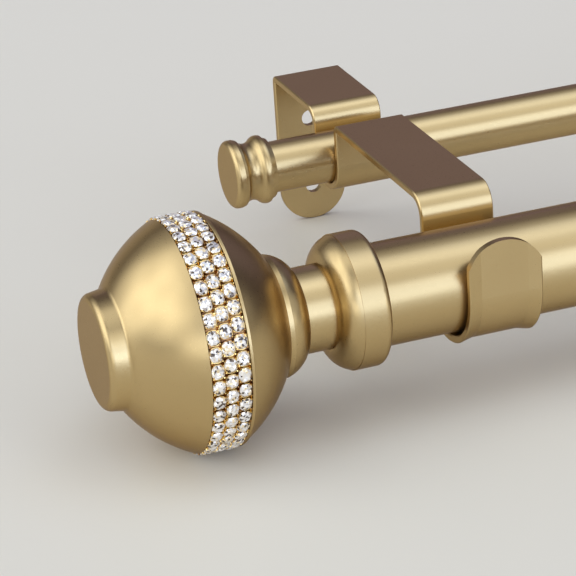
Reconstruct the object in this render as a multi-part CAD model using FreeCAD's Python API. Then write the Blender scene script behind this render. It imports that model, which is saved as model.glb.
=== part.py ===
import FreeCAD, Part
import math
import os

# Double curtain pole: two tubes side by side in two folded strip brackets.
# Millimetres. X runs along the poles, +Y points at the wall, Z is up.
# The origin is on the wall, midway between the four screw holes of the brackets.

# Poles
POLE_LENGTH = 1000.0
FRONT_POLE_DIAMETER = 28.0
FRONT_POLE_WALL = 1.0
REAR_POLE_DIAMETER = 15.0
REAR_POLE_WALL = 0.9
FRONT_PROJECTION = 132.0    # wall to the middle of the front pole
REAR_PROJECTION = 43.8      # wall to the middle of the rear pole
FRONT_AXIS_HEIGHT = 8.0     # above the middle of the screw holes
REAR_AXIS_HEIGHT = 14.1

# Brackets, each one folded strip of steel
BRACKET_INSET = 37.5        # pole's end to the middle of the bracket
STRIP_WIDTH = 21.0
STRIP_THICKNESS = 2.0
EDGE_BREAK = 0.3            # bevel along the strip's long edges
CUP_CLEARANCE = 0.3         # between a pole and the strip round it
REAR_RUN_GAP = 4.6          # rear pole to the top of the run above it
FRONT_RUN_GAP = 4.6         # front pole to the top of the run behind it
TIGHT_FOLD = 1.25           # bend radii on the middle of the strip
REAR_BEND = 4.0
FRONT_BEND = 5.5
HOLE_DIAMETER = 5.0
HOLE_SPACING = 22.0
HOLE_TO_PLATE_END = 11.0
LIP_WIDTH = 3.8             # edges of the front saddle that lean away from the pole
LIP_FLARE = 0.9
LIP_RUN_IN = 8.0            # height over which the flat strip turns into the saddle
TAB_ARCH_MARGIN = 1.1       # radius of the tab's arched top beyond half the strip
TAB_PEAK_HEIGHT = 15.6      # top of the front tab above the front pole's middle

# Front finials. Lengths run outwards from the pole's end, a bow is how far an arc leaves its chord.
SLIDE_CLEARANCE = 0.1
COLLAR_OVERLAP = 5.0
COLLAR_WALL = 4.4
COLLAR_SHOULDER = 1.9
COLLAR_CREASE = 3.1
COLLAR_STEP = 0.2
BEAD_LENGTH = 5.3
BEAD_BOW = 1.27
NECK_RADIUS = 11.6
NECK_LENGTH = 7.6
NECK_ROOT = 0.6             # small step where a bead meets the neck
FLANGE_LENGTH = 6.9
FLANGE_RIM = 1.15
FLANGE_RADIUS = 16.6
FLANGE_BOW = 0.76
BALL_FOOT_RADIUS = 16.3
BALL_INNER_LENGTH = 16.0
BALL_INNER_BOW = 1.4
BALL_RIM_RADIUS = 31.3
BAND_DEPTH = 2.0
RIM_LIP_WIDTH = 1.0
RIM_LIP_HEIGHT = 0.35
RIM_LIP_ROUNDING = 0.28
BALL_OUTER_LENGTH = 16.4
BALL_OUTER_BOW = 1.6
BOSS_ROOT_RADIUS = 16.2
BOSS_RADIUS = 15.3
BOSS_LENGTH = 5.4
BOSS_ROUNDING = 2.0         # radius round the boss's face
BOSS_ROOT_ROUNDING = 1.2    # radius in the corner between boss and ball
BALL_WALL = 2.6
HUB_RADIUS = 7.0
REGISTER_LENGTH = 3.0       # ring of the inner half that centres the outer half

# Crystal band: rows of flat backed stones on one chain
STONE_ROWS = 3
STONE_DIAMETER = 3.6
STONE_TABLE_DIAMETER = 2.1
STONE_HEIGHT = 1.5
STONE_SIDES = 8
STONE_GAP = 0.7             # least gap between neighbours of one row
ROW_GAP = 0.15              # between the stones of two rows
ROW_STAGGER = 0.25          # share of the pitch that each row is turned on
CHAIN_THICKNESS = 0.8
CHAIN_GROOVE = 0.3

# Stud and plug that hold a front finial in its pole
STUD_DIAMETER = 6.0
STUD_CHAMFER = 0.5
STUD_IN_PLUG = 18.0
STUD_TO_FACE = 9.4
PLUG_LENGTH = 22.0
PLUG_RIBS = 8
PLUG_RIB_WIDTH = 1.6
PLUG_RIB_HEIGHT = 0.8

# Rear end caps, from the disc at the pole's end back over the pole
CAP_FACE = 3.5
CAP_ROUNDING = 1.6          # radius round the disc's face
CAP_DISC_RADIUS = 10.0
CAP_BACK_SLOPE = 0.9
CAP_BACK_DROP = 0.3
CAP_COVE_LENGTH = 4.7
CAP_COVE_DEPTH = 1.05
CAP_BEAD_FOOT_RADIUS = 9.1
CAP_BEAD_LENGTH = 2.7
CAP_BEAD_BOW = 0.45
CAP_BEAD_END_RADIUS = 9.9
CAP_LIP_RADIUS = 9.4
CAP_LIP_LENGTH = 1.6
CAP_MOUTH_RADIUS = 8.8
SPIGOT_LENGTH = 14.0
SPIGOT_CLEARANCE = 0.2
RING_SECTION = 1.2
RING_BEVEL = 0.35
RING_PLACE = 11.0

# Worked out
FRONT_POLE_RADIUS = FRONT_POLE_DIAMETER / 2
REAR_POLE_RADIUS = REAR_POLE_DIAMETER / 2
FRONT_BORE = FRONT_POLE_RADIUS - FRONT_POLE_WALL
REAR_BORE = REAR_POLE_RADIUS - REAR_POLE_WALL
POLE_END = POLE_LENGTH / 2
FRONT_AXIS = (-FRONT_PROJECTION, FRONT_AXIS_HEIGHT)
REAR_AXIS = (-REAR_PROJECTION, REAR_AXIS_HEIGHT)
FIT = SLIDE_CLEARANCE / 2
COLLAR_RADIUS = FRONT_POLE_RADIUS + COLLAR_WALL
COLLAR_FOOT = COLLAR_CREASE + BEAD_LENGTH
NECK_END = COLLAR_FOOT + NECK_LENGTH
FLANGE_END = NECK_END + FLANGE_LENGTH
STONE_WIDTH = STONE_DIAMETER * math.cos(math.pi / STONE_SIDES)
ROW_PITCH = STONE_WIDTH + ROW_GAP
BAND_START = FLANGE_END + BALL_INNER_LENGTH
BAND_END = BAND_START + STONE_ROWS * ROW_PITCH + SLIDE_CLEARANCE * 2
BAND_MIDDLE = (BAND_START + BAND_END) / 2
BALL_NOSE = BAND_END + BALL_OUTER_LENGTH
FINIAL_LENGTH = BALL_NOSE + BOSS_LENGTH
RIM_RADIUS = BALL_RIM_RADIUS - RIM_LIP_HEIGHT
SEAT_RADIUS = BALL_RIM_RADIUS - BAND_DEPTH
SHELL_RADIUS = SEAT_RADIUS - BALL_WALL
CHAIN_RADIUS = SEAT_RADIUS + FIT + CHAIN_THICKNESS
STUD_BORE = STUD_DIAMETER / 2 + FIT
STUD_IN_BALL = FINIAL_LENGTH - STUD_TO_FACE
RING_RADIUS = REAR_BORE - FIT
LEFT, RIGHT = -1, 1


def vector(x, y, z):
    return FreeCAD.Vector(x, y, z)


def turned(*points):
    """Solid of revolution about X through points (place, radius), in order round the section.
    A third number makes the run that arrives there an arc, which bows away from X by that much."""
    edges = []
    for i, point in enumerate(points):
        start = vector(points[i - 1][0], 0, points[i - 1][1])
        end = vector(point[0], 0, point[1])
        if len(point) == 2:
            edges.append(Part.makeLine(start, end))
            continue
        chord = end - start
        away = vector(-chord.z, 0, chord.x) if chord.x > 0 else vector(chord.z, 0, -chord.x)
        away.normalize()
        edges.append(Part.Arc(start, (start + end) * 0.5 + away * point[2], end).toShape())
    face = Part.Face(Part.Wire(edges))
    return face.revolve(vector(0, 0, 0), vector(1, 0, 0), 360)


def circles(solid):
    return [edge for edge in solid.Edges if isinstance(edge.Curve, Part.Circle)]


def softened(solid, radius, rings):
    """Rounds the circular edges that lie at the given (place, radius) pairs."""
    chosen = []
    for edge in circles(solid):
        for place, ring_radius in rings:
            if abs(edge.Curve.Center.x - place) < 0.01 and abs(edge.Curve.Radius - ring_radius) < 0.01:
                chosen.append(edge)
                break
    return solid.makeFillet(radius, chosen)


def tube(outer_radius, wall, length):
    outer = Part.makeCylinder(outer_radius, length, vector(-length / 2, 0, 0), vector(1, 0, 0))
    bore = Part.makeCylinder(outer_radius - wall, length, vector(-length / 2, 0, 0), vector(1, 0, 0))
    return outer.cut(bore)


def at_end(shape, side, axis):
    """Moves a piece made outwards from X = 0 to one end of the pole on the given axis."""
    placed = shape.copy()
    if side == LEFT:
        placed = placed.mirror(vector(0, 0, 0), vector(1, 0, 0))
    placed.translate(vector(side * POLE_END, axis[0], axis[1]))
    return placed


def rounded_outline(corners):
    """Closed wire in the YZ plane. A corner (y, z, radius) gets a tangent arc unless its radius is 0."""
    edges = []
    ends = []
    count = len(corners)
    for i, (y, z, radius) in enumerate(corners):
        corner = vector(0, y, z)
        before = vector(0, *corners[i - 1][:2]) - corner
        after = vector(0, *corners[(i + 1) % count][:2]) - corner
        if radius == 0:
            ends.append((corner, corner))
            continue
        before.normalize()
        after.normalize()
        half = before.getAngle(after) / 2
        reach = radius / math.tan(half)
        middle = before + after
        middle.normalize()
        centre = corner + middle * (radius / math.sin(half))
        first, last = corner + before * reach, corner + after * reach
        edges.append(Part.Arc(first, centre - middle * radius, last).toShape())
        ends.append((first, last))
    for i in range(count):
        leave, arrive = ends[i - 1][1], ends[i][0]
        if leave.distanceToPoint(arrive) > 1e-6:
            edges.append(Part.makeLine(leave, arrive))
    return Part.Wire(Part.__sortEdges__(edges))


def strip_outline(bends, thickness):
    """Outline of a bent strip whose middle line runs through bends (y, z, radius), level or upright."""
    sides = ([], [])
    for i, (y, z, radius) in enumerate(bends):
        point = vector(0, y, z)
        run_in = point - vector(0, *bends[i - 1][:2]) if i > 0 else None
        run_out = vector(0, *bends[i + 1][:2]) - point if i + 1 < len(bends) else None
        normals = []
        for run in (run_in, run_out):
            if run is not None:
                run.normalize()
                normals.append(vector(0, -run.z, run.y))
        turn = 0
        normal = normals[0]
        if len(normals) == 2:
            turn = run_in.cross(run_out).x
            normal = normals[0] + normals[1]
        for side, sign in zip(sides, (1, -1)):
            corner = point + normal * (sign * thickness / 2)
            bent = radius - sign * turn * thickness / 2 if radius else 0
            side.append((corner.y, corner.z, bent))
    return rounded_outline(sides[0] + sides[1][::-1])


def bevelled_strip(bends):
    """Strip through the bends, bevelled along its two sides but not across its two ends."""
    strip = Part.Face(strip_outline(bends, STRIP_THICKNESS)).extrude(vector(STRIP_WIDTH, 0, 0))
    strip.translate(vector(-STRIP_WIDTH / 2, 0, 0))
    long_edges = []
    for edge in strip.Edges:
        box = edge.BoundBox
        at_strip_end = min(abs(box.ZMin - bends[0][1]), abs(box.ZMin - bends[-1][1])) < 0.01
        if box.XLength < 0.01 and not (at_strip_end and box.ZLength < 0.01):
            long_edges.append(edge)
    return strip.makeChamfer(EDGE_BREAK, long_edges)


def saddle_section(inner, flare):
    """Section of the strip as (x, distance from the pole's middle), with lips that lean out by the flare."""
    edge = STRIP_WIDTH / 2
    outer = inner + STRIP_THICKNESS
    beside = edge - EDGE_BREAK
    drop = EDGE_BREAK * flare / LIP_WIDTH
    half = [
        (edge - LIP_WIDTH, inner),
        (beside, inner + flare - drop),
        (edge, inner + flare + EDGE_BREAK),
        (edge, outer + flare - EDGE_BREAK),
        (beside, outer + flare - drop),
        (edge - LIP_WIDTH, outer),
    ]
    return half + [(-x, distance) for x, distance in reversed(half)]


def polygon(points):
    return Part.makePolygon(points + points[:1])


def arched_off(tab, axis_y, peak_z):
    """Cuts the tab's top to an arch whose axis runs along Y."""
    radius = STRIP_WIDTH / 2 + TAB_ARCH_MARGIN
    reach = STRIP_WIDTH * 2
    arch_z = peak_z - radius
    block = Part.makeBox(reach, reach, reach, vector(-reach / 2, axis_y - reach / 2, arch_z))
    kept = Part.makeCylinder(radius, reach, vector(0, axis_y - reach / 2, arch_z), vector(0, 1, 0))
    return tab.cut(block.cut(kept))


def bracket():
    """One strip from the wall plate over the rear pole, round it, over to the front pole and round that."""
    half = STRIP_THICKNESS / 2
    rear_cup = REAR_POLE_RADIUS + CUP_CLEARANCE + half
    front_inner = FRONT_POLE_RADIUS + CUP_CLEARANCE
    front_cup = front_inner + half
    rear_y, rear_z = REAR_AXIS
    front_y, front_z = FRONT_AXIS
    rear_run = rear_z + REAR_POLE_RADIUS + REAR_RUN_GAP - half
    front_run = front_z + FRONT_POLE_RADIUS + FRONT_RUN_GAP - half
    plate_arch = STRIP_WIDTH / 2 - HOLE_SPACING / 2 - HOLE_TO_PLATE_END
    saddle_start = front_z + LIP_RUN_IN
    strip = bevelled_strip([
        (-half, plate_arch, 0),
        (-half, rear_run, TIGHT_FOLD),
        (rear_y + rear_cup, rear_run, REAR_BEND),
        (rear_y + rear_cup, rear_z - rear_cup, rear_cup),
        (rear_y - rear_cup, rear_z - rear_cup, rear_cup),
        (rear_y - rear_cup, front_run, TIGHT_FOLD),
        (front_y + front_cup, front_run, FRONT_BEND),
        (front_y + front_cup, saddle_start, 0),
    ])
    plate_end = Part.makeCylinder(STRIP_WIDTH / 2, STRIP_THICKNESS,
                                  vector(0, -STRIP_THICKNESS, plate_arch), vector(0, 1, 0))
    plate_end = plate_end.makeChamfer(EDGE_BREAK, circles(plate_end))

    flat = saddle_section(front_inner, 0)
    flared = saddle_section(front_inner, LIP_FLARE)
    upper = polygon([vector(x, front_y + distance, saddle_start) for x, distance in flat])
    lower = polygon([vector(x, front_y + distance, front_z) for x, distance in flared])
    run_in = Part.makeLoft([upper, lower], True, True)
    saddle = Part.Face(lower).revolve(vector(0, front_y, front_z), vector(1, 0, 0), -180)
    tab_foot = polygon([vector(x, front_y - distance, front_z) for x, distance in flared])
    tab = Part.Face(tab_foot).extrude(vector(0, 0, TAB_PEAK_HEIGHT))
    tab = arched_off(tab, front_y - front_cup, front_z + TAB_PEAK_HEIGHT)

    folded = strip.fuse([plate_end, run_in, saddle, tab]).removeSplitter()
    for hole_z in (-HOLE_SPACING / 2, HOLE_SPACING / 2):
        hole = Part.makeCylinder(HOLE_DIAMETER / 2, STRIP_THICKNESS * 2,
                                 vector(0, -STRIP_THICKNESS * 1.5, hole_z), vector(0, 1, 0))
        folded = folded.cut(hole)
    return folded


def ball_outer_half():
    """Hollow cap with the flat boss on its end and a central hub that takes the stud."""
    hollow = BOSS_RADIUS - BALL_WALL
    face_back = FINIAL_LENGTH - BALL_WALL
    hub_start = BAND_MIDDLE + REGISTER_LENGTH
    half = turned(
        (STUD_IN_BALL, 0),
        (FINIAL_LENGTH, 0),
        (FINIAL_LENGTH, BOSS_RADIUS),
        (BALL_NOSE, BOSS_ROOT_RADIUS),
        (BAND_END, RIM_RADIUS, BALL_OUTER_BOW),
        (BAND_END, SEAT_RADIUS),
        (BAND_MIDDLE, SEAT_RADIUS),
        (BAND_MIDDLE, SHELL_RADIUS),
        (BAND_END, SHELL_RADIUS),
        (BALL_NOSE, hollow, BALL_OUTER_BOW),
        (face_back, hollow),
        (face_back, HUB_RADIUS),
        (hub_start, HUB_RADIUS),
        (hub_start, STUD_BORE),
        (STUD_IN_BALL, STUD_BORE),
    )
    half = softened(half, BOSS_ROUNDING, [(FINIAL_LENGTH, BOSS_RADIUS)])
    return softened(half, BOSS_ROOT_ROUNDING, [(BALL_NOSE, BOSS_ROOT_RADIUS)])


def ball_inner_half():
    """Hollow cap on the pole's side, with a raised lip beside the crystals and a ring for the outer half."""
    lip_start = BAND_START - RIM_LIP_WIDTH
    register_radius = SHELL_RADIUS - FIT
    register_bore = register_radius - BALL_WALL / 2
    register_end = BAND_MIDDLE + REGISTER_LENGTH
    foot_back = FLANGE_END + BALL_WALL
    half = turned(
        (FLANGE_END, STUD_BORE),
        (FLANGE_END, BALL_FOOT_RADIUS),
        (lip_start, RIM_RADIUS, BALL_INNER_BOW),
        (lip_start, BALL_RIM_RADIUS),
        (BAND_START, BALL_RIM_RADIUS),
        (BAND_START, SEAT_RADIUS),
        (BAND_MIDDLE, SEAT_RADIUS),
        (BAND_MIDDLE, register_radius),
        (register_end, register_radius),
        (register_end, register_bore),
        (lip_start, register_bore),
        (foot_back, BALL_FOOT_RADIUS - BALL_WALL / 2, BALL_INNER_BOW),
        (foot_back, STUD_BORE),
    )
    lip_edges = [(BAND_START, BALL_RIM_RADIUS), (lip_start, BALL_RIM_RADIUS)]
    return softened(half, RIM_LIP_ROUNDING, lip_edges)


def finial_neck():
    """One turned piece: the flange under the ball, the neck and the collar over the pole's end."""
    mouth = -COLLAR_OVERLAP
    sleeve = FRONT_POLE_RADIUS + SLIDE_CLEARANCE
    root = NECK_RADIUS + NECK_ROOT
    neck = turned(
        (0, STUD_BORE),
        (0, sleeve),
        (mouth, sleeve),
        (mouth, COLLAR_RADIUS),
        (COLLAR_CREASE, COLLAR_RADIUS),
        (COLLAR_CREASE, COLLAR_RADIUS - COLLAR_STEP),
        (COLLAR_FOOT, root, BEAD_BOW),
        (COLLAR_FOOT, NECK_RADIUS),
        (NECK_END, NECK_RADIUS),
        (NECK_END, root),
        (FLANGE_END - FLANGE_RIM, FLANGE_RADIUS, FLANGE_BOW),
        (FLANGE_END, BALL_FOOT_RADIUS),
        (FLANGE_END, STUD_BORE),
    )
    return softened(neck, COLLAR_SHOULDER, [(mouth, COLLAR_RADIUS)])


def crystal_chain():
    """Band of setting metal round the ball, grooved between the rows of stones."""
    inner = SEAT_RADIUS + FIT
    start, end = BAND_START + SLIDE_CLEARANCE, BAND_END - SLIDE_CLEARANCE
    outline = [(start, inner), (start, CHAIN_RADIUS)]
    for row in range(1, STONE_ROWS):
        groove = start + row * ROW_PITCH
        outline.append((groove - CHAIN_GROOVE / 2, CHAIN_RADIUS))
        outline.append((groove, CHAIN_RADIUS - CHAIN_GROOVE))
        outline.append((groove + CHAIN_GROOVE / 2, CHAIN_RADIUS))
    outline += [(end, CHAIN_RADIUS), (end, inner)]
    return turned(*outline)


def crystal():
    """One flat backed stone that stands on Z = 0, with its table and one ring of facets."""
    rings = []
    for diameter, height in ((STONE_DIAMETER, 0), (STONE_TABLE_DIAMETER, STONE_HEIGHT)):
        corners = []
        for i in range(STONE_SIDES):
            angle = 2 * math.pi * (i + 0.5) / STONE_SIDES
            corners.append(vector(diameter / 2 * math.cos(angle), diameter / 2 * math.sin(angle), height))
        rings.append(polygon(corners))
    return Part.makeLoft(rings, True, True)


def crystals():
    """All the stones of one ball, as separate solids."""
    stone = crystal()
    stone.translate(vector(0, 0, CHAIN_RADIUS))
    in_row = int(2 * math.pi * CHAIN_RADIUS / (STONE_DIAMETER + STONE_GAP))
    stones = []
    for row in range(STONE_ROWS):
        place = BAND_MIDDLE + (row - (STONE_ROWS - 1) / 2) * ROW_PITCH
        for i in range(in_row):
            copy = stone.copy()
            copy.rotate(vector(0, 0, 0), vector(1, 0, 0), 360 * (i + row * ROW_STAGGER) / in_row)
            copy.translate(vector(place, 0, 0))
            stones.append(copy)
    return Part.makeCompound(stones)


def finial_stud():
    length = STUD_IN_PLUG + STUD_IN_BALL
    stud = Part.makeCylinder(STUD_DIAMETER / 2, length, vector(-STUD_IN_PLUG, 0, 0), vector(1, 0, 0))
    return stud.makeChamfer(STUD_CHAMFER, circles(stud))


def pole_plug():
    """Ribbed plug pressed into the front pole's bore, bored for the stud."""
    tip = FRONT_BORE - FIT
    body = tip - PLUG_RIB_HEIGHT
    rib_foot = body - PLUG_RIB_HEIGHT
    start, end = -PLUG_LENGTH, -SLIDE_CLEARANCE
    plug = turned((start, STUD_BORE), (start, body), (end, body), (end, STUD_BORE))
    rib = Part.makeBox(end - start, PLUG_RIB_WIDTH, tip - rib_foot,
                       vector(start, -PLUG_RIB_WIDTH / 2, rib_foot))
    envelope = Part.makeCylinder(tip, end - start, vector(start, 0, 0), vector(1, 0, 0))
    ribs = []
    for i in range(PLUG_RIBS):
        copy = rib.copy()
        copy.rotate(vector(0, 0, 0), vector(1, 0, 0), 360 * i / PLUG_RIBS)
        ribs.append(copy.common(envelope))
    return plug.fuse(ribs).removeSplitter()


def rear_cap():
    """Turned cap: a disc, a cove and a bead outside, a sleeve and a spigot with a ring groove inside."""
    cove_end = -CAP_COVE_LENGTH
    bead_end = cove_end - CAP_BEAD_LENGTH
    mouth = bead_end - CAP_LIP_LENGTH
    sleeve = REAR_POLE_RADIUS + SLIDE_CLEARANCE
    spigot = REAR_BORE - SPIGOT_CLEARANCE
    groove_floor = RING_RADIUS - RING_SECTION - FIT
    groove_half = RING_SECTION / 2 + SLIDE_CLEARANCE
    cap = turned(
        (-SPIGOT_LENGTH, 0),
        (-SPIGOT_LENGTH, spigot),
        (-RING_PLACE - groove_half, spigot),
        (-RING_PLACE - groove_half, groove_floor),
        (-RING_PLACE + groove_half, groove_floor),
        (-RING_PLACE + groove_half, spigot),
        (0, spigot),
        (0, sleeve),
        (mouth, sleeve),
        (mouth, CAP_MOUTH_RADIUS),
        (bead_end, CAP_LIP_RADIUS),
        (bead_end, CAP_BEAD_END_RADIUS),
        (cove_end, CAP_BEAD_FOOT_RADIUS, CAP_BEAD_BOW),
        (0, CAP_DISC_RADIUS - CAP_BACK_DROP, -CAP_COVE_DEPTH),
        (CAP_BACK_SLOPE, CAP_DISC_RADIUS),
        (CAP_FACE, CAP_DISC_RADIUS),
        (CAP_FACE, 0),
    )
    return softened(cap, CAP_ROUNDING, [(CAP_FACE, CAP_DISC_RADIUS)])


def rear_cap_ring():
    """Bevelled rubber ring in the spigot's groove, which grips the rear pole's bore."""
    inner = RING_RADIUS - RING_SECTION
    start, end = -RING_PLACE - RING_SECTION / 2, -RING_PLACE + RING_SECTION / 2
    return turned(
        (start, inner + RING_BEVEL),
        (start, RING_RADIUS - RING_BEVEL),
        (start + RING_BEVEL, RING_RADIUS),
        (end - RING_BEVEL, RING_RADIUS),
        (end, RING_RADIUS - RING_BEVEL),
        (end, inner + RING_BEVEL),
        (end - RING_BEVEL, inner),
        (start + RING_BEVEL, inner),
    )


def build():
    nodes = {
        "front_pole": tube(FRONT_POLE_RADIUS, FRONT_POLE_WALL, POLE_LENGTH),
        "rear_pole": tube(REAR_POLE_RADIUS, REAR_POLE_WALL, POLE_LENGTH),
    }
    nodes["front_pole"].translate(vector(0, *FRONT_AXIS))
    nodes["rear_pole"].translate(vector(0, *REAR_AXIS))
    front_pieces = {
        "ball_outer_half": ball_outer_half(),
        "ball_inner_half": ball_inner_half(),
        "finial_neck": finial_neck(),
        "crystal_chain": crystal_chain(),
        "crystals": crystals(),
        "finial_stud": finial_stud(),
        "pole_plug": pole_plug(),
    }
    rear_pieces = {"rear_cap": rear_cap(), "rear_cap_ring": rear_cap_ring()}
    folded = bracket()
    for name, side in (("left", LEFT), ("right", RIGHT)):
        placed = folded.copy()
        placed.translate(vector(side * (POLE_END - BRACKET_INSET), 0, 0))
        nodes[name + "_bracket"] = placed
        for piece, shape in front_pieces.items():
            nodes[name + "_" + piece] = at_end(shape, side, FRONT_AXIS)
        for piece, shape in rear_pieces.items():
            nodes[name + "_" + piece] = at_end(shape, side, REAR_AXIS)
    return nodes


os.makedirs("parts", exist_ok=True)
for node, shape in build().items():
    shape.exportStep("parts/" + node + ".step")
    print(node, "valid", shape.isValid(), "solids", len(shape.Solids), "volume", round(shape.Volume, 1))
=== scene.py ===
import math
import random

import bmesh
import bpy
from mathutils import Matrix, Vector


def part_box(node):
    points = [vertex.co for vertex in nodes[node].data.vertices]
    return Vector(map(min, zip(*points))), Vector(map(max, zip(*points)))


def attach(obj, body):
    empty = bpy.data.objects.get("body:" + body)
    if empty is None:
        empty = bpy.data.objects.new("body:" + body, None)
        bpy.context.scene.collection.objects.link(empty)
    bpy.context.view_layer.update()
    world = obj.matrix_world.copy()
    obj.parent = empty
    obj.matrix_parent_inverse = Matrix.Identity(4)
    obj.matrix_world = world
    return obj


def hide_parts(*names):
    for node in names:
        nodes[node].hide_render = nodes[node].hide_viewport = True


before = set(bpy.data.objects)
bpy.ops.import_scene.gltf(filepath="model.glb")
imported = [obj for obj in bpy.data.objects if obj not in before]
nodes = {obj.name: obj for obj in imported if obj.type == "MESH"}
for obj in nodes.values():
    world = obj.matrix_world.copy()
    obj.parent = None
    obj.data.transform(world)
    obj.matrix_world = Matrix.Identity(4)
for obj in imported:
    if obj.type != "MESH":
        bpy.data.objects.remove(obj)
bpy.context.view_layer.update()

scene = bpy.context.scene
mm = 0.001
noiseLow, noiseHigh = 0.3, 0.7  # most of a noise texture's values lie between these
print("frame loaded,", len(nodes), "nodes")


# shared helpers
def addNode(tree, kind, inputs=None, **settings):
    made = tree.nodes.new("ShaderNode" + kind)
    for name, value in settings.items():
        setattr(made, name, value)
    for name, value in (inputs or {}).items():
        if isinstance(value, bpy.types.NodeSocket):
            tree.links.new(value, made.inputs[name])
        else:
            made.inputs[name].default_value = value
    return made


def startMaterial(name):
    material = bpy.data.materials.new(name)
    material.use_nodes = True
    tree = material.node_tree
    coords = addNode(tree, "TexCoord").outputs["Object"]
    return material, tree, tree.nodes["Principled BSDF"], coords


def colourRamp(tree, factor, stops, interpolation="LINEAR"):
    ramp = addNode(tree, "ValToRGB", {"Fac": factor})
    ramp.color_ramp.interpolation = interpolation
    first, last = ramp.color_ramp.elements
    first.position, first.color = stops[0][0], (*stops[0][1], 1)
    last.position, last.color = stops[-1][0], (*stops[-1][1], 1)
    for position, colour in stops[1:-1]:
        ramp.color_ramp.elements.new(position).color = (*colour, 1)
    return ramp.outputs["Color"]


def twoTone(tree, coords, finish, dark="dark", light="light"):
    # soft patches that run from one colour of a finish to another
    patches = addNode(tree, "TexNoise", {
        "Vector": coords, "Scale": finish["patchScale"], "Detail": finish["patchDetail"],
    })
    low, high = finish["patchRange"]
    return colourRamp(tree, patches.outputs["Fac"], [(low, finish[dark]), (high, finish[light])])


def finishMesh(name, bm, material, smoothAngle=35):
    bmesh.ops.recalc_face_normals(bm, faces=bm.faces)
    mesh = bpy.data.meshes.new(name)
    bm.to_mesh(mesh)
    bm.free()
    mesh.shade_smooth()
    mesh.set_sharp_from_angle(angle=math.radians(smoothAngle))
    mesh.materials.append(material)
    piece = bpy.data.objects.new(name, mesh)
    scene.collection.objects.link(piece)
    return piece


# satin gold plating, with its grain drawn out the way that each piece was finished
satinGold = {
    "light": (0.560, 0.406, 0.184),
    "dark": (0.522, 0.372, 0.164),
    "patchScale": 22.0,
    "patchDetail": 4.0,
    "patchRange": (0.3, 0.7),
    "roughLow": 0.27,
    "roughHigh": 0.33,
    "grainScale": 4200.0,
    "grainDetail": 3.0,
    "grainRoughness": 0.6,
    "grainStrength": 0.6,
    "grainDepth": 0.001 * mm,
    # the smaller the scale along an axis, the longer the grain is drawn out that way
    "grainScales": {
        "poleGold": (0.2, 1.0, 1.0),
        "turnedGold": (1.0, 0.5, 0.5),
        "stripGold": (0.7, 0.7, 0.7),
    },
    "edgeTint": (0.51, 0.41, 0.34),
    "coat": 0.26,
    "coatIOR": 1.8,
    "coatRoughness": 0.26,
}


def makeSatinGold(name):
    material, tree, shader, coords = startMaterial(name)
    colour = twoTone(tree, coords, satinGold)
    stretch = {"Vector": coords, "Scale": satinGold["grainScales"][name]}
    drawn = addNode(tree, "Mapping", stretch)
    grain = addNode(tree, "TexNoise", {
        "Vector": drawn.outputs["Vector"], "Scale": satinGold["grainScale"],
        "Detail": satinGold["grainDetail"], "Roughness": satinGold["grainRoughness"],
    })
    roughness = addNode(tree, "MapRange", {
        "Value": grain.outputs["Fac"], "From Min": noiseLow, "From Max": noiseHigh,
        "To Min": satinGold["roughLow"], "To Max": satinGold["roughHigh"],
    })
    bump = addNode(tree, "Bump", {
        "Height": grain.outputs["Fac"], "Strength": satinGold["grainStrength"],
        "Distance": satinGold["grainDepth"],
    })
    tree.links.new(colour, shader.inputs["Base Color"])
    tree.links.new(roughness.outputs["Result"], shader.inputs["Roughness"])
    tree.links.new(bump.outputs["Normal"], shader.inputs["Normal"])
    shader.inputs["Metallic"].default_value = 1.0
    shader.inputs["Specular Tint"].default_value = (*satinGold["edgeTint"], 1)
    shader.inputs["Coat Weight"].default_value = satinGold["coat"]
    shader.inputs["Coat IOR"].default_value = satinGold["coatIOR"]
    shader.inputs["Coat Roughness"].default_value = satinGold["coatRoughness"]
    return material


poleGold, turnedGold, stripGold = [makeSatinGold(name) for name in satinGold["grainScales"]]
print("satin gold made")


# yellow gold of the stone settings
settingFinish = {
    "light": (0.92, 0.64, 0.22),
    "dark": (0.36, 0.175, 0.058),
    # the band's two browns are painted shade, standing in for the shade deep between the cups
    "bandLight": (0.30, 0.16, 0.06),
    "bandDark": (0.12, 0.055, 0.025),
    "patchScale": 420.0,
    "patchDetail": 2.0,
    "patchRange": (0.35, 0.6),
    "roughness": 0.22,
    "pitScale": 5200.0,
    "pitDepth": 0.01 * mm,
}


def makeSettingGold(name, dark, light):
    material, tree, shader, coords = startMaterial(name)
    colour = twoTone(tree, coords, settingFinish, dark, light)
    pits = addNode(tree, "TexNoise", {"Vector": coords, "Scale": settingFinish["pitScale"]})
    bump = addNode(tree, "Bump", {
        "Height": pits.outputs["Fac"], "Distance": settingFinish["pitDepth"],
    })
    tree.links.new(colour, shader.inputs["Base Color"])
    tree.links.new(bump.outputs["Normal"], shader.inputs["Normal"])
    shader.inputs["Metallic"].default_value = 1.0
    shader.inputs["Roughness"].default_value = settingFinish["roughness"]
    return material


# crystal: the facets inside a stone are cells that each tilt the normal and take their own tone,
# which is a painted reflection
crystalFinish = {
    # dark, gold and near-white tones are painted reflections, standing in for what a clear stone
    # mirrors and shows through it
    "facetReflectionTones": [
        (0.0, (0.09, 0.062, 0.044)),
        (0.16, (0.88, 0.69, 0.41)),
        (0.33, (0.91, 0.83, 0.71)),
        (0.60, (0.92, 0.87, 0.81)),
    ],
    "cellScale": 1600.0,
    "facetTilt": 0.9,
    "roughness": 0.08,
    "metallic": 0.55,
    "coat": 0.6,
    "coatRoughness": 0.03,
}


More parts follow.
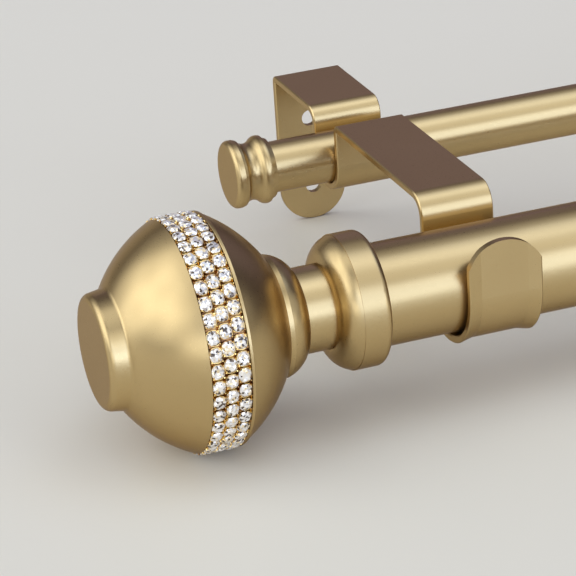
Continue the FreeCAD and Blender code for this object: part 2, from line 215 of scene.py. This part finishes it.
def makeCrystal():
    material, tree, shader, coords = startMaterial("crystalGlass")
    cells = addNode(tree, "TexVoronoi", {"Vector": coords, "Scale": crystalFinish["cellScale"]})
    pick = addNode(tree, "SeparateColor", {"Color": cells.outputs["Color"]})
    # each cell picks its painted reflection from its own colour
    tone = colourRamp(tree, pick.outputs["Red"], crystalFinish["facetReflectionTones"], "CONSTANT")
    # a cell's colour runs from 0 to 1, so half comes off before it tilts the normal
    centred = {0: cells.outputs["Color"], 1: (0.5, 0.5, 0.5)}
    offset = addNode(tree, "VectorMath", centred, operation="SUBTRACT")
    scaled = {0: offset.outputs["Vector"], "Scale": crystalFinish["facetTilt"]}
    tilt = addNode(tree, "VectorMath", scaled, operation="SCALE")
    surface = addNode(tree, "NewGeometry").outputs["Normal"]
    tilted = addNode(tree, "VectorMath", {0: surface, 1: tilt.outputs["Vector"]}, operation="ADD")
    facet = addNode(tree, "VectorMath", {0: tilted.outputs["Vector"]}, operation="NORMALIZE")
    tree.links.new(tone, shader.inputs["Base Color"])
    tree.links.new(facet.outputs["Vector"], shader.inputs["Normal"])
    shader.inputs["Metallic"].default_value = crystalFinish["metallic"]
    shader.inputs["Roughness"].default_value = crystalFinish["roughness"]
    shader.inputs["Coat Weight"].default_value = crystalFinish["coat"]
    shader.inputs["Coat Roughness"].default_value = crystalFinish["coatRoughness"]
    return material


# pieces inside the poles and the ball
hiddenFinishes = {
    "studSteel": {
        "light": (0.62, 0.63, 0.64), "dark": (0.45, 0.46, 0.48), "metallic": 1.0,
        "roughLow": 0.25, "roughHigh": 0.4, "scale": 1500.0, "detail": 3.0, "depth": 0.02 * mm,
    },
    "plugPlastic": {
        "light": (0.030, 0.030, 0.032), "dark": (0.015, 0.015, 0.016), "metallic": 0.0,
        "roughLow": 0.45, "roughHigh": 0.6, "scale": 900.0, "detail": 3.0, "depth": 0.03 * mm,
    },
    "ringRubber": {
        "light": (0.022, 0.022, 0.022), "dark": (0.012, 0.012, 0.012), "metallic": 0.0,
        "roughLow": 0.6, "roughHigh": 0.8, "scale": 2200.0, "detail": 3.0, "depth": 0.02 * mm,
    },
}


def makeHiddenFinish(name):
    finish = hiddenFinishes[name]
    material, tree, shader, coords = startMaterial(name)
    grain = addNode(tree, "TexNoise", {
        "Vector": coords, "Scale": finish["scale"], "Detail": finish["detail"],
    })
    stops = [(noiseLow, finish["dark"]), (noiseHigh, finish["light"])]
    colour = colourRamp(tree, grain.outputs["Fac"], stops)
    roughness = addNode(tree, "MapRange", {
        "Value": grain.outputs["Fac"], "To Min": finish["roughLow"], "To Max": finish["roughHigh"],
    })
    bump = addNode(tree, "Bump", {"Height": grain.outputs["Fac"], "Distance": finish["depth"]})
    tree.links.new(colour, shader.inputs["Base Color"])
    tree.links.new(roughness.outputs["Result"], shader.inputs["Roughness"])
    tree.links.new(bump.outputs["Normal"], shader.inputs["Normal"])
    shader.inputs["Metallic"].default_value = finish["metallic"]
    return material


settingGold = makeSettingGold("settingGold", "dark", "light")
# the band under the cups gets its own darker finish, which is painted shade between the settings
bandPaintedShade = makeSettingGold("bandPaintedShade", "bandDark", "bandLight")
crystalGlass = makeCrystal()
studSteel, plugPlastic, ringRubber = [makeHiddenFinish(name) for name in hiddenFinishes]
print("other finishes made")

# the finish of each CAD node, by its name without left, right, front or rear
finishOfNode = {
    "pole": poleGold,
    "bracket": stripGold,
    "ball_outer_half": turnedGold,
    "ball_inner_half": turnedGold,
    "finial_neck": turnedGold,
    "rear_cap": turnedGold,
    "crystal_chain": settingGold,
    "crystals": crystalGlass,
    "finial_stud": studSteel,
    "pole_plug": plugPlastic,
    "rear_cap_ring": ringRubber,
}
for nodeName, cadNode in nodes.items():
    plainName = nodeName.split("_", 1)[1]
    cadNode.data.materials.clear()
    cadNode.data.materials.append(finishOfNode[plainName])
print("finishes given to the CAD nodes")


# crystals and the settings that hold them
stoneBand = {
    "rows": 3,
    "perRow": 44,
    "stagger": 0.25,  # shift from one row to the next, in stones
    "seed": 11,
    "tiltSpread": 3.0,  # degrees, to either side
    "girdleSides": 12,
    "footRadius": 1.69 * mm,
    "girdleRadius": 1.745 * mm,
    "squareness": 2.6,  # 2 is round, and more is squarer
    "girdleHeight": 0.80 * mm,
    "crownRadius": 1.63 * mm,
    "crownHeight": 1.16 * mm,
    "tableRadius": 1.10 * mm,
    "stretch": 1.12,  # length round the band over width across it
    "smoothAngle": 1,
    "sink": 0.07 * mm,
    "cupSides": 12,
    "cupRadius": 1.765 * mm,
    "cupStretch": 1.21,
    "cupWall": 0.15 * mm,
    "cupHeight": 0.78 * mm,
    "prongs": 4,
    "prongSides": 4,
    "prongRadius": 0.33 * mm,
    "prongTaper": 0.7,
    "prongLean": -14.0,  # degrees, towards the stone
    "prongHeight": 1.16 * mm,
    "prongReach": 2.16 * mm,
    "bandThickness": 0.8 * mm,
    "bandSides": 132,
}


def bandPlaces(side):
    # one matrix per stone, which stands it on the band with its table outwards
    chainLow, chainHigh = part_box(side + "_crystal_chain")
    middle = (chainLow + chainHigh) / 2
    radius = (chainHigh.z - chainLow.z) / 2
    pitch = (chainHigh.x - chainLow.x) / stoneBand["rows"]
    outwards = -1 if side == "left" else 1
    places = []
    for row in range(stoneBand["rows"]):
        x = middle.x + outwards * (row - (stoneBand["rows"] - 1) / 2) * pitch
        for i in range(stoneBand["perRow"]):
            turn = 2 * math.pi * (i + row * stoneBand["stagger"]) / stoneBand["perRow"]
            stand = Matrix.Rotation(turn, 4, "X") @ Matrix.Translation((0, 0, radius))
            places.append(Matrix.Translation((x, middle.y, middle.z)) @ stand)
    return places, middle, radius, chainHigh.x - chainLow.x


def cushion(verts, stretch):
    # brings a round outline to one between a circle and a square, longer along the band
    power = stoneBand["squareness"]
    for vert in verts:
        radius = math.hypot(vert.co.x, vert.co.y)
        across, along = abs(vert.co.x / radius), abs(vert.co.y / radius)
        spread = (across ** power + along ** power) ** (-1 / power)
        vert.co.x *= spread
        vert.co.y *= spread * stretch


def spinProfile(bm, points, centre, axis, steps):
    # a closed ring from the corners of its section
    corners = [bm.verts.new(point) for point in points]
    edges = [bm.edges.new((corners[i - 1], corners[i])) for i in range(len(corners))]
    bmesh.ops.spin(bm, geom=corners + edges, cent=centre, axis=axis, angle=2 * math.pi,
                   steps=steps, use_merge=True)


def stoneMesh():
    # a brilliant's crown: foot, girdle, crown and table rings closed by their hull
    sides = stoneBand["girdleSides"]
    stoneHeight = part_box("left_crystals")[1].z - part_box("left_crystal_chain")[1].z
    rings = [
        (sides // 2, stoneBand["footRadius"], 0.0, 0.0),
        (sides, stoneBand["girdleRadius"], stoneBand["girdleHeight"], 0.0),
        (sides // 2, stoneBand["crownRadius"], stoneBand["crownHeight"], math.pi / sides),
        (sides // 2, stoneBand["tableRadius"], stoneHeight, 0.0),
    ]
    bm = bmesh.new()
    for count, radius, height, turn in rings:
        place = Matrix.Translation((0, 0, height)) @ Matrix.Rotation(turn - math.pi / 2, 4, "Z")
        bmesh.ops.create_circle(bm, segments=count, radius=radius, matrix=place)
    cushion(bm.verts, stoneBand["stretch"])
    bmesh.ops.delete(bm, geom=bm.edges[:], context="EDGES_FACES")
    bmesh.ops.convex_hull(bm, input=bm.verts)
    mesh = bpy.data.meshes.new("stoneShape")
    bm.to_mesh(mesh)
    bm.free()
    return mesh


def settingMesh():
    # an open cup round the stone with four prongs bent over its girdle
    bm = bmesh.new()
    outside, inside = stoneBand["cupRadius"], stoneBand["cupRadius"] - stoneBand["cupWall"]
    top = stoneBand["cupHeight"]
    wall = [(outside, 0, 0), (outside, 0, top), (inside, 0, top), (inside, 0, 0)]
    spinProfile(bm, wall, (0, 0, 0), (0, 0, 1), stoneBand["cupSides"])
    cushion(bm.verts, stoneBand["cupStretch"])
    foot, height = stoneBand["prongRadius"], stoneBand["prongHeight"]
    tip = foot * stoneBand["prongTaper"]
    lean = Matrix.Rotation(math.radians(stoneBand["prongLean"]), 4, "Y")
    stand = Matrix.Translation((stoneBand["prongReach"], 0, height / 2)) @ lean
    widen = Matrix.Diagonal((1, stoneBand["stretch"], 1, 1))
    for i in range(stoneBand["prongs"]):
        prong = bmesh.ops.create_cone(bm, cap_ends=True, segments=stoneBand["prongSides"],
                                      radius1=foot, radius2=tip, depth=height)
        turn = Matrix.Rotation(2 * math.pi * (i + 0.5) / stoneBand["prongs"], 4, "Z")
        bmesh.ops.transform(bm, matrix=widen @ turn @ stand, verts=prong["verts"])
    mesh = bpy.data.meshes.new("settingShape")
    bm.to_mesh(mesh)
    bm.free()
    return mesh


def repeatAt(bm, shape, places):
    for place in places:
        first = len(bm.verts)
        bm.from_mesh(shape)
        bm.verts.ensure_lookup_table()
        bmesh.ops.transform(bm, matrix=place, verts=bm.verts[first:])


def bandRing(bm, middle, radius, width):
    # the strip of metal under the settings, as thick as the CAD one
    inside = radius - stoneBand["bandThickness"]
    section = [(-width / 2, inside), (-width / 2, radius), (width / 2, radius), (width / 2, inside)]
    corners = [middle + Vector((along, 0, out)) for along, out in section]
    spinProfile(bm, corners, middle, (1, 0, 0), stoneBand["bandSides"])


def tippedPlaces(places):
    # stones sit a little deep in their cups, and each is tipped a few degrees its own way
    wobble = random.Random(stoneBand["seed"])
    spread = math.radians(stoneBand["tiltSpread"])
    sink = Matrix.Translation((0, 0, -stoneBand["sink"]))
    tipped = []
    for place in places:
        tipAlong = Matrix.Rotation(wobble.uniform(-spread, spread), 4, "X")
        tipAcross = Matrix.Rotation(wobble.uniform(-spread, spread), 4, "Y")
        tipped.append(place @ sink @ tipAlong @ tipAcross)
    return tipped


stoneShape, settingShape = stoneMesh(), settingMesh()
for side in ("left", "right"):
    places, middle, radius, width = bandPlaces(side)
    bm = bmesh.new()
    repeatAt(bm, stoneShape, tippedPlaces(places))
    stones = finishMesh(side + "Stones", bm, crystalGlass, stoneBand["smoothAngle"])
    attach(stones, "root")
    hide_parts(side + "_crystals")

    bm = bmesh.new()
    bandRing(bm, middle, radius, width)
    # the band's faces take the second, darker finish, which is painted shade
    for face in bm.faces:
        face.material_index = 1
    repeatAt(bm, settingShape, places)
    settings = finishMesh(side + "Settings", bm, settingGold)
    settings.data.materials.append(bandPaintedShade)
    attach(settings, "root")
    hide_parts(side + "_crystal_chain")
print("crystal bands made")


# pale floor under the balls and the bracket plates
floorStyle = {
    "size": 14.0,
    "light": (0.712, 0.655, 0.545),
    "dark": (0.682, 0.626, 0.518),
    "patchScale": 1.2,
    "patchDetail": 3.0,
    "patchRange": (0.3, 0.7),
    "roughness": 0.40,
    "specular": 0.12,
}


def makeFloor():
    material, tree, shader, coords = startMaterial("paleFloor")
    tree.links.new(twoTone(tree, coords, floorStyle), shader.inputs["Base Color"])
    shader.inputs["Roughness"].default_value = floorStyle["roughness"]
    shader.inputs["Specular IOR Level"].default_value = floorStyle["specular"]
    bandLow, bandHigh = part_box("left_crystals")
    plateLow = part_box("left_bracket")[0]
    ballMiddle = (bandLow.y + bandHigh.y) / 2
    slope = math.atan2(plateLow.z - bandLow.z, -ballMiddle)
    bm = bmesh.new()
    bmesh.ops.create_grid(bm, x_segments=2, y_segments=2, size=floorStyle["size"])
    lay = Matrix.Translation((0, ballMiddle, bandLow.z)) @ Matrix.Rotation(slope, 4, "X")
    bmesh.ops.transform(bm, matrix=lay, verts=bm.verts)
    floor = finishMesh("floor", bm, material)


makeFloor()

# soft studio light, written as bright patches of a surrounding dome
studio = {
    "base": (0.056, 0.042, 0.066),
    "backdrop": (0.58, 0.57, 0.55),
    # tints of the patches
    "soft": (0.93, 1.0, 1.07),
    "day": (0.82, 1.0, 1.38),
    "dusk": (1.08, 0.97, 1.60),
    # azimuth from the front, elevation, inner and outer angle of the backdrop that metal mirrors
    "behind": (180, 0, 6, 24),
    # rows of patches: tint, elevation, inner and outer angle, then azimuth and strength of each
    "rows": [
        ("day", 0, 5, 22, [(2, 3.02)]),
        ("day", 20, 5, 22, [(-16, 1.90), (24, 2.10)]),
        ("day", 62, 7, 26, [(90, 0.94)]),
        ("soft", 0, 5, 22, [(-110, 1.00), (-38, 2.16), (42, 1.58)]),
        ("soft", 20, 5, 22, [(-130, 1.09), (-105, 1.41), (-80, 1.21), (-58, 1.07), (68, 0.60)]),
        ("dusk", 20, 5, 22, [(125, 0.14), (160, 0.24)]),
        ("soft", 41, 6, 24, [(-150, 0.41), (-120, 1.03), (-92, 1.09), (-65, 1.18), (-14, 1.36),
                             (38, 0.85)]),
        ("soft", 62, 7, 26, [(-115, 0.98), (50, 0.60), (140, 0.45)]),
        ("soft", 85, 8, 30, [(0, 0.90)]),
    ],
}


def coneAmount(tree, direction, azimuth, elevation, inner, outer):
    # 1 within the inner angle of a direction, fading to 0 at the outer angle
    turn, rise = math.radians(azimuth), math.radians(elevation)
    aim = (math.sin(turn) * math.cos(rise), -math.cos(turn) * math.cos(rise), math.sin(rise))
    facing = addNode(tree, "VectorMath", {0: direction, 1: aim}, operation="DOT_PRODUCT")
    limits = {
        "Value": facing.outputs["Value"],
        "From Min": math.cos(math.radians(outer)),
        "From Max": math.cos(math.radians(inner)),
    }
    return addNode(tree, "MapRange", limits, interpolation_type="SMOOTHSTEP").outputs["Result"]


def largerOf(tree, first, second):
    return addNode(tree, "Math", {0: first, 1: second}, operation="MAXIMUM").outputs["Value"]


def makeStudio():
    world = bpy.data.worlds.new("studio")
    scene.world = world
    world.use_nodes = True
    tree = world.node_tree
    direction = addNode(tree, "TexCoord").outputs["Generated"]
    total = studio["base"]
    for tint, elevation, inner, outer, patches in studio["rows"]:
        for azimuth, strength in patches:
            amount = coneAmount(tree, direction, azimuth, elevation, inner, outer)
            colour = [strength * channel for channel in studio[tint]]
            lit = addNode(tree, "VectorMath", {0: colour, "Scale": amount}, operation="SCALE")
            terms = {0: total, 1: lit.outputs["Vector"]}
            total = addNode(tree, "VectorMath", terms, operation="ADD").outputs["Vector"]
    # the camera sees a plain backdrop, and so do metal and crystal low behind the row
    rays = addNode(tree, "LightPath").outputs
    mirrored = largerOf(tree, rays["Is Glossy Ray"], rays["Is Transmission Ray"])
    behind = coneAmount(tree, direction, *studio["behind"])
    reflected = addNode(tree, "Math", {0: mirrored, 1: behind}, operation="MULTIPLY")
    shown = largerOf(tree, rays["Is Camera Ray"], reflected.outputs["Value"])
    # sockets 6 and 7 are the two colours that are mixed, output 2 is their mix
    colours = {"Factor": shown, 6: total, 7: (*studio["backdrop"], 1)}
    seen = addNode(tree, "Mix", colours, data_type="RGBA")
    tree.links.new(seen.outputs[2], tree.nodes["Background"].inputs["Color"])


makeStudio()
print("floor and studio made")

# camera at the photograph's viewing angle, with its place in metres and its angles in degrees
view = {
    "place": (-0.7431, -0.7979, 0.3168),
    "azimuth": -18.73,
    "elevation": 23.22,
    "roll": -3.94,
    "lens": 182.57,
    "sensorWidth": 36.0,
    "near": 0.05,
    "far": 60.0,
}
cameraData = bpy.data.cameras.new("photoCamera")
cameraData.lens = view["lens"]
cameraData.sensor_width = view["sensorWidth"]
cameraData.clip_start, cameraData.clip_end = view["near"], view["far"]
camera = bpy.data.objects.new("photoCamera", cameraData)
scene.collection.objects.link(camera)
camera.matrix_world = (
    Matrix.Translation(view["place"])
    @ Matrix.Rotation(math.radians(view["azimuth"]), 4, "Z")
    @ Matrix.Rotation(math.radians(90 - view["elevation"]), 4, "X")
    @ Matrix.Rotation(math.radians(view["roll"]), 4, "Z")
)
scene.camera = camera
scene.view_settings.view_transform = "Standard"
print("camera set")
